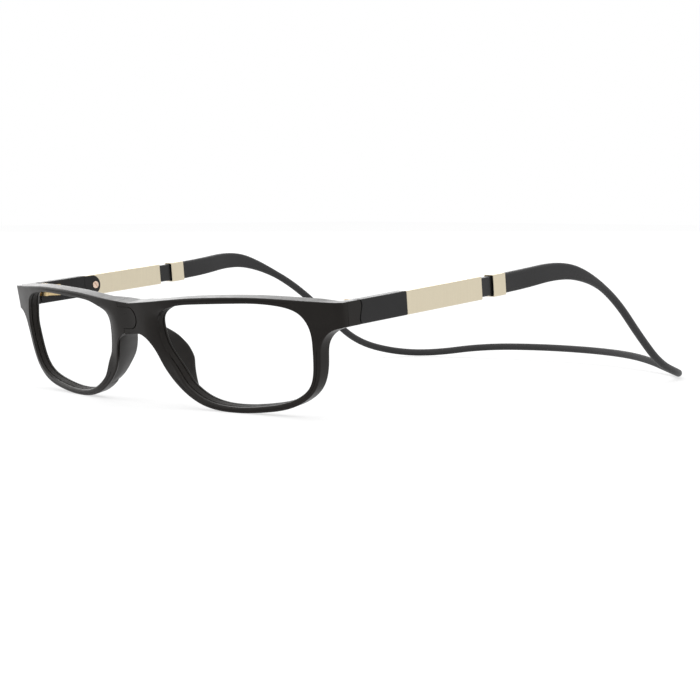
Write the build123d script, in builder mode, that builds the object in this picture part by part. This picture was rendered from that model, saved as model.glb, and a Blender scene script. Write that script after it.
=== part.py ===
# Reading glasses that part at a magnetic bridge, with sliding temples and a soft headband.
# Millimetres, Z up, the lenses face -Y, +X is the wearer's left.
# Places are measured from the datum, below the front of the bridge at table height.
import os
from math import cos, pi, radians, sin, sqrt, tan

from build123d import *

os.makedirs("parts", exist_ok=True)

# Stance on the table
front_tilt = 11.77  # the front leans forward at the top
temple_rise = 5.54  # the temples climb towards the ears
bridge_y = -90.82  # the datum ahead of the object's middle
overrun = 60.0  # prisms that are cut or cut with are carried past the work

# Lens openings and rims, seen square to the front
lens_width = 51.1
lens_height = 27.65
lens_low = 0.96
wrap_radius = 201.0  # curve of the front round the face
rim_width = 1.7
rim_depth = 3.9
endpiece_width = 8.53
end_drop = 5.5  # from the top of the brow to the temple's centre line
corner_radius = 1.9
opening_shares = [(-0.449, -0.078), (-0.351, -0.298), (-0.226, -0.439), (-0.063, -0.499), (0.151, -0.488),
                  (0.319, -0.429), (0.434, -0.297), (0.491, -0.051), (0.497, 0.199), (0.45, 0.376),
                  (0.32, 0.469), (0.055, 0.501), (-0.219, 0.492), (-0.405, 0.441), (-0.489, 0.333),
                  (-0.498, 0.137)]
rim_width_shares = [1.51, 1.39, 1.07, 0.88, 0.98, 1.03, 0.98, 0.74]
brow_shares = [(0.15, 0.44), (0.284, 0.79), (0.49, 1), (0.683, 0.83), (0.866, 0.25)]
armpit_shares = [(0.455, 0.155), (0.725, 0.52)]
opening_steps = 44

# Bridge, its seam and the tongue on the wearer's right half
bridge_half = 9.65  # from the middle to the lens opening
bridge_block_half = 8.6
bridge_drop = 1.98
bridge_height = 8.3
bridge_depth = 5.8
arch_shares = [(0.58, 0.247), (0.33, 0.024)]
seam_x = -3.5
seam_gap = 0.15
tongue_x = -0.72
tongue_radius = 2.93
magnet_radius = 1.5
magnet_thickness = 2.0
magnet_cover = 0.4
magnet_clearance = 0.05

# Nose pads, moulded with the front
pad_flare = 8.0
pad_thickness = 2.3
pad_depth = 9.1
pad_low = 2.6
pad_height = 19.8
pad_root = 1.3
pad_top_shares = (0.52, 0.1)
pad_profile_shares = [(0.45, 1), (0.62, 0.92), (0.77, 0.83), (0.89, 0.72), (0.965, 0.62), (0.985, 0.525),
                      (0.93, 0.4), (0.835, 0.3), (0.74, 0.21), (0.62, 0.1), (0.45, 0)]

# Lenses
lens_thickness = 1.9
lens_front = 1.0
lens_edge_width = 0.9
lens_edge_reach = 0.42
lens_clearance = 0.06
groove_front = 1.45
groove_width = 1.0
groove_depth = 0.5

# Temples, with places along the temple from above the datum
temple_thickness = 3.3
temple_height = 6.3
arm_start = 7.6
seam_t = 13.4
seam_wave = 0.45
hinge_gap = 0.2
sleeve_start = 30.4
sleeve_length = 29.3
sleeve_height = 6.2
lap_length = 5.3
lap_thickness = 1.1
lap_height = 6.0
fit_clearance = 0.05
cavity_depth = 21.7
cavity_width = 2.1
cavity_height = 5.36
strip_start = 45.6
strip_length = 21.0
strip_width = 1.9
strip_height = 5.2
strip_corner = 0.5
ferrule_start = 64.4
ferrule_length = 5.0
ferrule_height = 6.0
ferrule_width = 3.3
ferrule_bow = 0.22
strap_seat_depth = 2.1
strap_clearance = 0.1

# Hinges
pin_offset = 1.38  # the pin's axis stands inside the temple's inner face
pin_rise = 0.9  # the hinge sits above the temple's centre line
knuckle_radius = 1.25
knuckle_height = 1.05
knuckle_gap = 0.07
pin_radius = 0.6
pin_clearance = 0.05
pin_head_radius = 0.95
pin_head_height = 0.4
screw_slot = 0.3
thread_clearance = 0.02
leaf_thickness = 1.0
leaf_seat = 0.4
leaf_clearance = 0.05
leaf_break = 1.15
leaf_web = 0.4
front_leaf_length = 4.2
temple_leaf_length = 5.4

# Screw on the inner side of the sleeve
lap_screw_t = 33.8
lap_screw_head_radius = 1.12
lap_screw_head_height = 0.35
lap_screw_radius = 0.6
lap_screw_length = 2.2

# Headband strap: tall flat ends that taper to a round cord
strap_height = 5.4
strap_thickness = 2.4
strap_corner = 0.7
cord_diameter = 2.3
taper_step = 0.03  # the taper's last section stands proud of the cord
round_corner_share = 0.97
taper_shares = [(0, 1), (0.06, 1), (0.12, 1), (0.2, 0.995), (0.28, 0.97), (0.36, 0.93), (0.45, 0.88), (0.54, 0.81),
                (0.62, 0.69), (0.7, 0.53), (0.78, 0.355), (0.86, 0.19), (0.93, 0.08), (1, 0)]
bend_share = 0.45
first_run = 9.0
strap_route = [(69.3, 92.5, 36.2), (69.8, 105.5, 33.4), (68.0, 119.6, 26.5), (65.8, 134.7, 14.5), (64.6, 146.4, 5.9),
               (61.5, 161.0, 1.9), (52.5, 171.3, 1.2), (34.3, 179.2, 4.2), (13.0, 186.3, 4.7)]
taper_corners = 3  # corners of the route that the taper takes

# Directions and planes
tilt = radians(front_tilt)
rise = radians(temple_rise)
flare = radians(pad_flare)
front_back = Vector(0, cos(tilt), sin(tilt))
front_up = Vector(0, -sin(tilt), cos(tilt))
temple_back = Vector(0, cos(rise), sin(rise))
temple_up = Vector(0, -sin(rise), cos(rise))
datum = Vector(0, bridge_y, 0)

# Sizes worked out for the front
lens_x = bridge_half + lens_width / 2
lens_v = lens_low + lens_height / 2
half_width = bridge_half + lens_width + endpiece_width
wrap_end = wrap_radius - sqrt(wrap_radius**2 - half_width**2)
brow_v = lens_low + lens_height + rim_width
end_v = brow_v - end_drop
bridge_top_v = brow_v - bridge_drop
bridge_low_v = bridge_top_v - bridge_height
bridge_mid = front_up * (bridge_top_v + bridge_low_v) / 2
endpiece = front_up * end_v + front_back * wrap_end
temple_datum = datum + Vector(0, 0, endpiece.Z - tan(rise) * endpiece.Y)
inner_x = half_width - temple_thickness
middle_x = half_width - temple_thickness / 2
sleeve_end = sleeve_start + sleeve_length
lap_centre_t = sleeve_start + lap_length - lap_height / 2
strip_end = strip_start + strip_length
ferrule_end = ferrule_start + ferrule_length
strap_seat = ferrule_end - strap_seat_depth

front_plane = Plane(origin=datum, x_dir=(1, 0, 0), z_dir=-front_back)
wrap_plane = Plane(origin=datum, x_dir=(1, 0, 0), z_dir=front_up)
pad_plane = Plane(origin=datum, x_dir=front_back, z_dir=(1, 0, 0))
seam_plane = Plane(origin=datum, x_dir=(1, 0, 0), z_dir=-temple_back)
side_plane = Plane(origin=temple_datum + Vector(inner_x, 0, 0), x_dir=temple_back, z_dir=(1, 0, 0))
core_plane = side_plane.offset(temple_thickness / 2)
plan_plane = Plane(origin=temple_datum, x_dir=(1, 0, 0), z_dir=temple_up)


def temple_point(x, t):
    return temple_datum + Vector(x, 0, 0) + temple_back * t


def wrap_at(x):
    return wrap_radius - sqrt(wrap_radius**2 - x**2)


def beside(points, distances, closed=False):
    """Moves the first points of a line to its right by their distances."""
    moved = []
    for i, distance in enumerate(distances):
        before = points[i - 1] if closed or i > 0 else points[i]
        after = points[(i + 1) % len(points)] if closed or i < len(points) - 1 else points[i]
        along = (after - before).normalized()
        moved.append(points[i] + Vector(along.Y, -along.X) * distance)
    return moved


opening = [Vector(lens_x + x * lens_width, lens_v + v * lens_height) for x, v in opening_shares]
rim_edge = beside(opening, [share * rim_width for share in rim_width_shares], closed=True)
armpit = [Vector(half_width - x * endpiece_width, end_v - temple_height / 2 - v * temple_height)
          for x, v in armpit_shares]
arch = [Vector(x * bridge_half, bridge_low_v - v * bridge_height) for x, v in arch_shares]
brow = [Vector(x * half_width, bridge_top_v + v * bridge_drop) for x, v in brow_shares]


def front_shell(near, far):
    """The space between two depths behind the curved front surface."""
    edge = half_width + rim_depth
    with BuildPart() as band:
        with BuildSketch(wrap_plane):
            with BuildLine():
                a = ThreePointArc((-edge, near + wrap_at(edge)), (0, near), (edge, near + wrap_at(edge)))
                b = ThreePointArc((-edge, far + wrap_at(edge)), (0, far), (edge, far + wrap_at(edge)))
                Line(a @ 0, b @ 0)
                Line(a @ 1, b @ 1)
            make_face()
        extrude(amount=overrun, both=True)
    return band.part


def opening_prism(grow):
    """A prism of the lens opening's outline, grown by a distance all round."""
    edge = Edge.make_spline(opening, periodic=True)
    steps = [step / opening_steps for step in range(opening_steps)]
    points = [edge @ step + Vector((edge % step).Y, -(edge % step).X) * grow for step in steps]
    with BuildPart() as prism:
        with BuildSketch(front_plane):
            with BuildLine():
                Spline(*[(point.X, point.Y) for point in points], periodic=True)
            make_face()
        extrude(amount=overrun, both=True)
    return prism.part


def front_prism(outer_x):
    """A prism of the near half's outline, past the middle and as far out as outer_x."""
    with BuildPart() as prism:
        with BuildSketch(front_plane):
            with BuildLine():
                top = Spline((0, bridge_top_v), *brow, (half_width, end_v + temple_height / 2))
                side = Line(top @ 1, (half_width, end_v - temple_height / 2))
                low = Spline(side @ 1, *armpit, *rim_edge[::-1], *arch, (0, bridge_low_v))
                left = Line(low @ 1, (-bridge_block_half, bridge_low_v))
                up = Line(left @ 1, (-bridge_block_half, bridge_top_v))
                Line(up @ 1, top @ 0)
            make_face()
            with Locations(((outer_x - bridge_block_half) / 2, 0)):
                Rectangle(outer_x + bridge_block_half, 2 * overrun, mode=Mode.INTERSECT)
        extrude(amount=overrun, both=True)
    return prism.part


def nose_pad():
    """The flange behind the nose side of the rim, flared towards the temples."""
    pad_top = Vector(pad_top_shares[0] * bridge_half, bridge_low_v + pad_top_shares[1] * bridge_height)
    outer = [*rim_edge[2::-1], arch[0], pad_top]
    inner = beside(outer, [pad_thickness] * len(outer))
    profile = [(depth * pad_depth, pad_low + v * pad_height) for depth, v in pad_profile_shares]
    with BuildPart() as pad:
        with BuildSketch(front_plane):
            with BuildLine():
                near_side = Spline(*outer)
                far_side = Spline(*inner)
                Line(near_side @ 0, far_side @ 0)
                Line(near_side @ 1, far_side @ 1)
            make_face()
        extrude(amount=overrun, dir=front_back * cos(flare) + Vector(sin(flare), 0, 0))
        with BuildSketch(pad_plane):
            with BuildLine():
                rear = Spline(*profile)
                low = Line(rear @ 1, (pad_root, pad_low))
                root = Line(low @ 1, (pad_root, pad_low + pad_height))
                Line(root @ 1, rear @ 0)
            make_face()
        extrude(amount=overrun, mode=Mode.INTERSECT)
    return pad.part


def corner_cutter():
    """What lies outside the rounded outer corner of the endpiece."""
    centre = Vector(half_width - corner_radius, 0)
    centre.Y = wrap_radius - sqrt((wrap_radius - corner_radius)**2 - centre.X**2)
    inward = (Vector(0, wrap_radius) - centre).normalized()
    front_touch = centre - inward * corner_radius
    side_touch = centre + Vector(corner_radius, 0)
    between = centre + (Vector(1, 0) - inward).normalized() * corner_radius
    with BuildPart() as cutter:
        with BuildSketch(wrap_plane):
            with BuildLine():
                ThreePointArc(front_touch, between, side_touch)
                Polyline(side_touch, side_touch + Vector(overrun, 0), side_touch + Vector(overrun, -overrun),
                         Vector(front_touch.X, side_touch.Y - overrun), front_touch)
            make_face()
        extrude(amount=overrun, both=True)
    return cutter.part


def shell_piece(prism, near, far):
    """A prism kept between two depths behind the front surface."""
    with BuildPart() as piece:
        add(prism)
        add(front_shell(near, far), mode=Mode.INTERSECT)
    return piece.part


def hinge_box(y_low, y_high, z_low, z_high):
    """A box as thick as a hinge leaf, upright, with its sides across the temple."""
    centre = Vector(inner_x + leaf_seat - leaf_thickness / 2, (y_low + y_high) / 2, (z_low + z_high) / 2)
    with BuildPart() as block:
        with Locations(datum + centre):
            Box(leaf_thickness, y_high - y_low, z_high - z_low)
    return block.part


def disc(plane, radius, thickness):
    """A round disc on a plane."""
    with BuildPart() as piece:
        with BuildSketch(plane):
            Circle(radius)
        extrude(amount=thickness)
    return piece.part


def seam_points(shift):
    """The hinge seam seen from the side, from its top to its foot."""
    half = temple_height / 2
    return [(seam_t + shift, half), (seam_t + seam_wave + shift, half / 2), (seam_t + shift, 0),
            (seam_t - seam_wave + shift, -half / 2), (seam_t + shift, -half)]


# Places on the hinge
pin_x = inner_x - pin_offset
pin_y = (seam_t + hinge_gap) * cos(rise)
pin_z = temple_datum.Z + pin_y * tan(rise) + pin_rise
pin_base = datum + Vector(pin_x, pin_y, pin_z)
middle_half = knuckle_height / 2
hinge_half = middle_half + knuckle_gap + knuckle_height
leaf_front_y = pin_y - leaf_break - front_leaf_length
leaf_back_y = pin_y + leaf_break + temple_leaf_length

# Places on the bridge
tongue_v = bridge_mid.dot(temple_up)
magnet_t = (bridge_mid + front_back * bridge_depth / 2).dot(temple_back)
magnet_base = datum + temple_up * tongue_v + temple_back * magnet_t
magnet_right_x = tongue_x + sqrt(tongue_radius**2 - magnet_radius**2) - magnet_cover
magnet_left_x = tongue_x + tongue_radius + seam_gap + magnet_cover


def magnet_plane(x):
    return Plane(origin=magnet_base + Vector(x, 0, 0), x_dir=(0, 1, 0), z_dir=(1, 0, 0))


# The near half before its seam is cut: rim, bridge, endpiece with its arm, and nose pad
pad = nose_pad()
with BuildPart() as half_blank:
    add(shell_piece(front_prism(half_width), 0, rim_depth))
    add(shell_piece(front_prism(bridge_block_half), 0, bridge_depth))
    add(pad)
    add(opening_prism(0), mode=Mode.SUBTRACT)
    add(shell_piece(pad, lens_front + lens_thickness + lens_clearance, overrun))
    add(shell_piece(opening_prism(groove_depth), groove_front, groove_front + groove_width), mode=Mode.SUBTRACT)
    with BuildSketch(side_plane):
        with BuildLine():
            seam = Spline(*seam_points(0))
            low = Line(seam @ 1, (arm_start, -temple_height / 2))
            front_edge = Line(low @ 1, (arm_start, temple_height / 2))
            Line(front_edge @ 1, seam @ 0)
        make_face()
    extrude(amount=temple_thickness)
    add(corner_cutter(), mode=Mode.SUBTRACT)
    add(hinge_box(leaf_front_y - leaf_clearance, pin_y + leaf_break, pin_z - hinge_half - leaf_clearance,
                  pin_z + hinge_half + leaf_clearance), mode=Mode.SUBTRACT)

# What lies on each side of the bridge seam, cut along the way that the halves slide
with BuildPart() as right_side:
    with BuildSketch(seam_plane):
        with Locations((seam_x - half_width, 0)):
            Rectangle(2 * half_width, 2 * overrun)
        with Locations(((seam_x + tongue_x) / 2, tongue_v)):
            Rectangle(tongue_x - seam_x, 2 * tongue_radius)
        with Locations((tongue_x, tongue_v)):
            Circle(tongue_radius)
    extrude(amount=overrun, both=True)
with BuildPart() as left_side:
    with BuildSketch(seam_plane):
        with Locations((seam_x + seam_gap + half_width, 0)):
            Rectangle(2 * half_width, 2 * overrun)
        with Locations(((seam_x + tongue_x) / 2, tongue_v)):
            Rectangle(tongue_x - seam_x + 2 * seam_gap, 2 * (tongue_radius + seam_gap), mode=Mode.SUBTRACT)
        with Locations((tongue_x, tongue_v)):
            Circle(tongue_radius + seam_gap, mode=Mode.SUBTRACT)
    extrude(amount=overrun, both=True)

with BuildPart() as rim_left:
    add(half_blank.part)
    add(left_side.part, mode=Mode.INTERSECT)
    add(disc(magnet_plane(magnet_left_x + magnet_thickness + magnet_clearance), magnet_radius + magnet_clearance,
             -magnet_thickness - 2 * magnet_clearance), mode=Mode.SUBTRACT)
rim_left.part.label = "rim_left"
export_step(rim_left.part, "parts/rim_left.step")

with BuildPart() as rim_right:
    add(mirror(half_blank.part, about=Plane.YZ))
    add(right_side.part, mode=Mode.INTERSECT)
    add(disc(magnet_plane(magnet_right_x + magnet_clearance), magnet_radius + magnet_clearance,
             -magnet_thickness - 2 * magnet_clearance), mode=Mode.SUBTRACT)
rim_right.part.label = "rim_right"
export_step(rim_right.part, "parts/rim_right.step")

with BuildPart() as magnet_left:
    add(disc(magnet_plane(magnet_left_x), magnet_radius, magnet_thickness))
magnet_left.part.label = "magnet_left"
export_step(magnet_left.part, "parts/magnet_left.step")

with BuildPart() as magnet_right:
    add(disc(magnet_plane(magnet_right_x), magnet_radius, -magnet_thickness))
magnet_right.part.label = "magnet_right"
export_step(magnet_right.part, "parts/magnet_right.step")

# Lens with a bevelled edge that sits in the rim's groove
edge_front = groove_front + (groove_width - lens_edge_width) / 2
with BuildPart() as lens:
    add(shell_piece(opening_prism(-lens_clearance), lens_front, lens_front + lens_thickness))
    add(shell_piece(opening_prism(lens_edge_reach), edge_front, edge_front + lens_edge_width))

# Hinge: two outer knuckles on the front leaf, one middle knuckle on the temple leaf, and a screw
with BuildPart() as front_leaf:
    add(hinge_box(leaf_front_y, pin_y - leaf_break - knuckle_gap, pin_z - hinge_half, pin_z + hinge_half))
    for low in (-hinge_half, middle_half + knuckle_gap):
        add(hinge_box(leaf_front_y, pin_y - leaf_web, pin_z + low, pin_z + low + knuckle_height))
        add(disc(Plane(origin=pin_base + Vector(0, 0, low)), knuckle_radius, knuckle_height))
    add(disc(Plane(origin=pin_base - Vector(0, 0, hinge_half)), pin_radius + pin_clearance, 2 * hinge_half),
        mode=Mode.SUBTRACT)

with BuildPart() as temple_leaf:
    add(hinge_box(pin_y + leaf_break + knuckle_gap, leaf_back_y, pin_z - hinge_half, pin_z + hinge_half))
    add(hinge_box(pin_y + leaf_web, leaf_back_y, pin_z - middle_half, pin_z + middle_half))
    add(disc(Plane(origin=pin_base - Vector(0, 0, middle_half)), knuckle_radius, knuckle_height))
    add(disc(Plane(origin=pin_base - Vector(0, 0, middle_half)), pin_radius + thread_clearance, knuckle_height),
        mode=Mode.SUBTRACT)

with BuildPart() as hinge_screw:
    head_plane = Plane(origin=pin_base + Vector(0, 0, hinge_half + knuckle_gap))
    add(disc(Plane(origin=pin_base - Vector(0, 0, hinge_half)), pin_radius, 2 * hinge_half + knuckle_gap))
    add(disc(head_plane, pin_head_radius, pin_head_height))
    with BuildSketch(head_plane.offset(pin_head_height)):
        Rectangle(2 * pin_head_radius, screw_slot)
    extrude(amount=-pin_head_height / 2, mode=Mode.SUBTRACT)


def lap_prism(radius, thickness):
    """The round-ended lap that the temple front lays over the inner side of the sleeve."""
    with BuildPart() as lap:
        with BuildSketch(side_plane):
            with Locations(((sleeve_start + lap_centre_t) / 2, 0)):
                Rectangle(lap_centre_t - sleeve_start, 2 * radius)
            with Locations((lap_centre_t, 0)):
                Circle(radius)
        extrude(amount=thickness)
    return lap.part


def bar(start, end, height, width):
    """A box in the middle of the temple's thickness."""
    with BuildPart() as piece:
        with BuildSketch(core_plane):
            with Locations(((start + end) / 2, 0)):
                Rectangle(end - start, height)
        extrude(amount=width / 2, both=True)
    return piece.part


screw_plane = Plane(origin=temple_point(inner_x, lap_screw_t), x_dir=temple_back, z_dir=(1, 0, 0))

# Temple front: full thickness as far as the sleeve, then the thin lap
with BuildPart() as temple_front:
    with BuildSketch(side_plane):
        with BuildLine():
            seam = Spline(*seam_points(hinge_gap))
            low = Line(seam @ 1, (sleeve_start, -temple_height / 2))
            end = Line(low @ 1, (sleeve_start, temple_height / 2))
            Line(end @ 1, seam @ 0)
        make_face()
    extrude(amount=temple_thickness)
    add(lap_prism(lap_height / 2, lap_thickness))
    add(hinge_box(pin_y - leaf_break, leaf_back_y + leaf_clearance, pin_z - hinge_half - leaf_clearance,
                  pin_z + hinge_half + leaf_clearance), mode=Mode.SUBTRACT)
    add(disc(screw_plane, lap_screw_radius + thread_clearance, lap_thickness), mode=Mode.SUBTRACT)

with BuildPart() as sleeve:
    add(bar(sleeve_start + fit_clearance, sleeve_end, sleeve_height, temple_thickness))
    add(lap_prism(lap_height / 2 + fit_clearance, lap_thickness + fit_clearance), mode=Mode.SUBTRACT)
    add(bar(sleeve_end - cavity_depth, sleeve_end, cavity_height, cavity_width), mode=Mode.SUBTRACT)
    add(disc(screw_plane, lap_screw_radius + thread_clearance, lap_screw_length + fit_clearance),
        mode=Mode.SUBTRACT)

with BuildPart() as sleeve_screw:
    add(disc(screw_plane, lap_screw_head_radius, -lap_screw_head_height))
    add(disc(screw_plane, lap_screw_radius, lap_screw_length))
    with BuildSketch(screw_plane.offset(-lap_screw_head_height)):
        Rectangle(2 * lap_screw_head_radius, screw_slot)
    extrude(amount=lap_screw_head_height / 2, mode=Mode.SUBTRACT)

# Slider strip that runs inside the sleeve
with BuildPart() as strip:
    with BuildSketch(core_plane):
        with Locations(((strip_start + strip_end) / 2, 0)):
            RectangleRounded(strip_length, strip_height, strip_corner)
    extrude(amount=strip_width / 2, both=True)

# Ferrule between the strip and the strap, with slightly bowed faces
with BuildPart() as ferrule:
    with BuildSketch(plan_plane):
        with BuildLine():
            outer_x = middle_x + ferrule_width / 2
            near_x = middle_x - ferrule_width / 2
            bow_t = (ferrule_start + ferrule_end) / 2
            a = ThreePointArc((outer_x, ferrule_start), (outer_x + ferrule_bow, bow_t), (outer_x, ferrule_end))
            b = ThreePointArc((near_x, ferrule_start), (near_x - ferrule_bow, bow_t), (near_x, ferrule_end))
            Line(a @ 0, b @ 0)
            Line(a @ 1, b @ 1)
        make_face()
    extrude(amount=ferrule_height / 2, both=True)
    add(bar(ferrule_start, strip_end + fit_clearance, strip_height + 2 * fit_clearance,
            strip_width + 2 * fit_clearance), mode=Mode.SUBTRACT)
    add(bar(strap_seat, ferrule_end, strap_height + 3 * strap_clearance, strap_thickness + 2 * strap_clearance),
        mode=Mode.SUBTRACT)

pairs = {"lens": lens, "front_leaf": front_leaf, "temple_leaf": temple_leaf, "hinge_screw": hinge_screw,
         "temple_front": temple_front, "sleeve": sleeve, "sleeve_screw": sleeve_screw, "strip": strip,
         "ferrule": ferrule}
for name, piece in pairs.items():
    with BuildPart() as twin:
        add(mirror(piece.part, about=Plane.YZ))
    for side, solid in (("left", piece.part), ("right", twin.part)):
        solid.label = f"{name}_{side}"
        export_step(solid, f"parts/{name}_{side}.step")

# Headband strap, from one ferrule down to the table and round behind to the other
left_route = [temple_point(middle_x, strap_seat), temple_point(middle_x, strap_seat + first_run)]
left_route += [datum + Vector(*point) for point in strap_route]
route = left_route + [Vector(-point.X, point.Y, point.Z) for point in left_route[::-1]]
runs = [(after - before).length for before, after in zip(route, route[1:])]
turns = [(a - b).get_angle(b - c) for a, b, c in zip(route, route[1:], route[2:])]
radii = [bend_share * min(run, next_run) / tan(radians(turn) / 2) for run, next_run, turn in zip(runs, runs[1:], turns)]
print("strap radii", [round(radius, 1) for radius in radii])

taper_end = (route[taper_corners] + route[taper_corners + 1]) / 2
cord_start = taper_corners + 1
cord_route = route[cord_start:len(route) - cord_start]
with BuildLine() as taper_line:
    FilletPolyline(*route[:cord_start], taper_end, radius=radii[:taper_corners])
with BuildLine() as cord_line:
    FilletPolyline(taper_end, *cord_route, Vector(-taper_end.X, taper_end.Y, taper_end.Z),
                   radius=radii[taper_corners:len(radii) - taper_corners])
taper_wire = taper_line.wire()
cord_wire = cord_line.wire()


def strap_plane(wire, share):
    along = wire % share
    return Plane(origin=wire @ share, x_dir=Vector(0, 0, 1).cross(along).normalized(), z_dir=along)


with BuildPart() as taper:
    for share, flat_share in taper_shares:
        round_size = cord_diameter + 2 * taper_step
        width = round_size + (strap_thickness - round_size) * flat_share
        height = round_size + (strap_height - round_size) * flat_share
        round_corner = round_corner_share * round_size / 2
        with BuildSketch(strap_plane(taper_wire, share)):
            RectangleRounded(width, height, round_corner + (strap_corner - round_corner) * flat_share)
    loft()

with BuildPart() as cord:
    with BuildSketch(strap_plane(cord_wire, 0)):
        Circle(cord_diameter / 2)
    sweep(path=cord_wire)
cord_volume = pi * cord_diameter**2 / 4 * cord_wire.length
print("strap length", round(2 * taper_wire.length + cord_wire.length, 1))
print("cord volume over section times length", round(cord.part.volume / cord_volume, 4))

with BuildPart() as strap:
    add(taper.part)
    add(mirror(taper.part, about=Plane.YZ))
    add(cord.part)
strap.part.label = "strap"
export_step(strap.part, "parts/strap.step")
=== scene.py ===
from math import cos, pi, radians, sin, sqrt, tan

import bpy
import bmesh
import numpy as np
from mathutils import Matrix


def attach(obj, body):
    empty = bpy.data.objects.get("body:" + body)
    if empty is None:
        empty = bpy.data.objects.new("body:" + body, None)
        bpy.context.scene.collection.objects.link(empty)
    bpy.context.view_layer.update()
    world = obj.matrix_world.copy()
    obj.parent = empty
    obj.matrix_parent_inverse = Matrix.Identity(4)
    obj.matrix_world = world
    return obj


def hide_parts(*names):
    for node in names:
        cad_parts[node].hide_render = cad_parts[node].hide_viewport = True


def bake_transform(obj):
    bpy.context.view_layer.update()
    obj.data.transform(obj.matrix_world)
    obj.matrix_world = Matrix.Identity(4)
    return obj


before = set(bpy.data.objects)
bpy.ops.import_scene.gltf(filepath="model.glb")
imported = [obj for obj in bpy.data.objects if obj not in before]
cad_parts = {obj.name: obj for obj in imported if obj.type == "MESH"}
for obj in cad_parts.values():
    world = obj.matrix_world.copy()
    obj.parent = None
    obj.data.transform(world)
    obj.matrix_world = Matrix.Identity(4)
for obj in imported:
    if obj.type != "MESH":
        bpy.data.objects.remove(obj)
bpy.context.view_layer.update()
mm = 0.001
lineSteps = 40              # steps of a drawn line from one of its points to the next
sharpAngle = 38             # degrees: sharper edges stay crisp, the others are shaded smooth

stance = {
    "bridgeY": -90.82,      # the foot of the bridge's front
    "frontTilt": 11.77,     # degrees
    "templeRise": 5.54,     # degrees
    "wrapRadius": 201.0,
}

front = {
    "lensWidth": 51.1,
    "lensHeight": 27.65,
    "lensLow": 0.96,
    "rimWidth": 1.7,
    "rimDepth": 3.9,
    "endWidth": 8.53,
    "endDrop": 5.5,
    "cornerRadius": 1.9,    # outer upright corner of the endpiece
    "endCorner": 0.42,      # its upper and lower corners
    "bridgeHalf": 9.65,
    "bridgeDrop": 1.98,
    "bridgeHeight": 8.3,
    "bridgeDepth": 5.0,
    "overlap": 8.6,         # how far each blank runs past the middle before the seam is cut
    "edgeRadius": 0.35,
    "backRadius": 0.5,
    # A pair is where a share begins and where it is full: X beside the middle, V up the front, W behind its face
    "bridgeX": (10.6, 4.6),
    "leanX": (61, 67),      # out here, back turns to the temple's line
    "noseRoll": 4.2,        # how far the face rolls off beside the opening on the nose side
    "noseDrop": 0.9,
    "rollPower": 2.5,
    "rollX": (15.5, 10),
    "rollV": (6, 14),
    "noseLip": 0.9,         # the rolled edge stands into the opening
    "lipReach": 3,
    "lipPower": 1.5,
    "lipX": (18, 13),
    "lipV": (1, 8),
    "lipTopV": (28, 19),
    "noseForward": 0.45,    # the face beside the nose stands ahead of its wide curve, and behind it lower down
    "noseBack": 0.85,
    "noseBackV": (19, 8),
    "noseX": (24, 11),
    "middleShare": 0.4,     # what is left of it in the very middle
    "nearMiddleX": (0, 6),
    "noseStep": 0.5,        # behind its front edge the side towards the nose steps back, for the pad to cover
    "stepW": (0.55, 0.85),
    "stepX": (17, 14),
    "stepV": (2.5, 4.5),
    "stepTop": (-0.6, -2.1),    # from the bridge's lower edge
    "sideForward": 0.42,    # below the endpiece the outer side stands ahead too, and is less deep
    "sideThin": 0.25,
    "sideX": (44, 56),
    "sideV": (23, 16),
    "openingShares": [(-0.449, -0.078), (-0.351, -0.298), (-0.226, -0.439), (-0.063, -0.499), (0.151, -0.488),
                      (0.325, -0.429), (0.44, -0.297), (0.48, -0.051), (0.484, 0.199), (0.44, 0.376),
                      (0.32, 0.469), (0.055, 0.501), (-0.219, 0.492), (-0.405, 0.441), (-0.489, 0.333),
                      (-0.498, 0.137)],
    "rimWidthShares": [1.62, 1.42, 1.12, 0.94, 0.98, 1.02, 0.98, 1.2],
    "browShares": [(0.15, 0.44), (0.284, 0.79), (0.49, 1), (0.683, 0.83), (0.866, 0.25)],
    "armpitShares": [(0.455, 0.155), (0.725, 0.52)],
    "archShares": [(0.66, 0.247), (0.35, 0.024)],
    "grooves": (1.05, 2.95),    # depths of the fine lines beside the lens's two faces
    "grooveDepth": 0.26,
    "grooveHalf": 0.14,
    "grooveEdge": 0.06,
    "grooveWidth": 1.6,     # where the rim is narrower than this they are shallower
    "stepAlong": 0.42,      # between the rim's sections
    "endSteps": 15,         # points up the endpiece's front edge
    "topCuts": (54, 38, 24, 9),     # where the brow's line is cut into strips
    "archPast": 4.6,        # how far the arch's line runs past the middle
}

seam = {
    "topX": -4.4,
    "lowX": -3.3,
    "rightBack": 0.0,       # each half stands back a little from the seam
    "leftBack": 0.1,
    "recessShift": 0.32,    # the recess is roomier at the tongue's round end
    "tongueX": -0.5,
    "tongueRadius": 2.93,
    "cutReach": 60,         # the cutter is larger than the half
    "cutAlong": (-20, 25),
}

temple = {
    "thickness": 3.3,
    "height": 6.3,
    "armStart": 9.0,
    "armProud": 0.03,
    "armEdge": 0.1,         # its first end is hidden in the endpiece
    "seamT": 13.4,
    "seamWave": 0.45,
    "seamGap": 0.32,
    "edgeRadius": 0.42,
    "endRadius": 0.14,
    "sleeveStart": 30.4,
    "sleeveEnd": 59.7,
    "stepRadius": 0.1,      # where the full thickness ends at the sleeve
    "lapTuck": 0.6,
    "lapEnd": 35.7,
    "lapHalf": 3.0,
    "lapThickness": 1.1,
    "lapProud": 0.07,
    # shares of the lap's outline, and how far below its face they lie
    "lapFace": [(0.3, 0), (0.7, 0), (0.955, 0), (0.98, 0.012), (0.995, 0.035), (1.0, 0.07)],
}

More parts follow.
